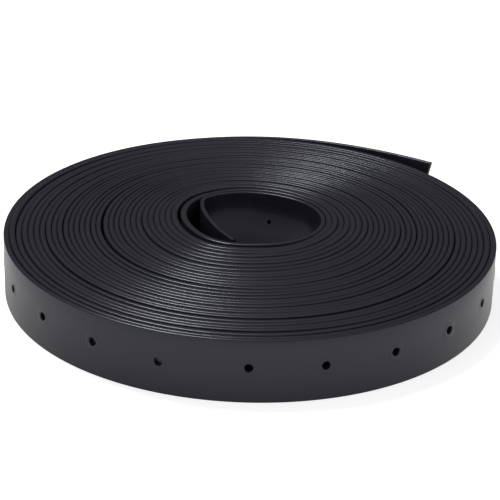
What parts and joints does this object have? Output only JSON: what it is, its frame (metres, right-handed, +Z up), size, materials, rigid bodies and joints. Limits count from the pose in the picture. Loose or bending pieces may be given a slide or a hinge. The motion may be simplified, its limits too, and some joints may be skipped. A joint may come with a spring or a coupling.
{
  "type": "soaker hose",
  "caption": "Flat black soaker hose with a row of punched outlets, wound on its edge into a flat coil with two bare cut ends.",
  "frame": {"origin": "middle of the coil's box, on the surface that the coil stands on", "axes": "+Z up along the winding's axis, +Y to the back where the hub lies nearer the rim, +X to the right"},
  "size_m": [0.1937, 0.195, 0.025],
  "materials": {
    "hose_wall": "extruded soft black rubber-plastic blend, satin"
  },
  "bodies": {
    "root": {"hose_coil": "hose_wall", "outer_free_end": "hose_wall", "inner_free_end": "hose_wall"}
  },
  "joints": []
}
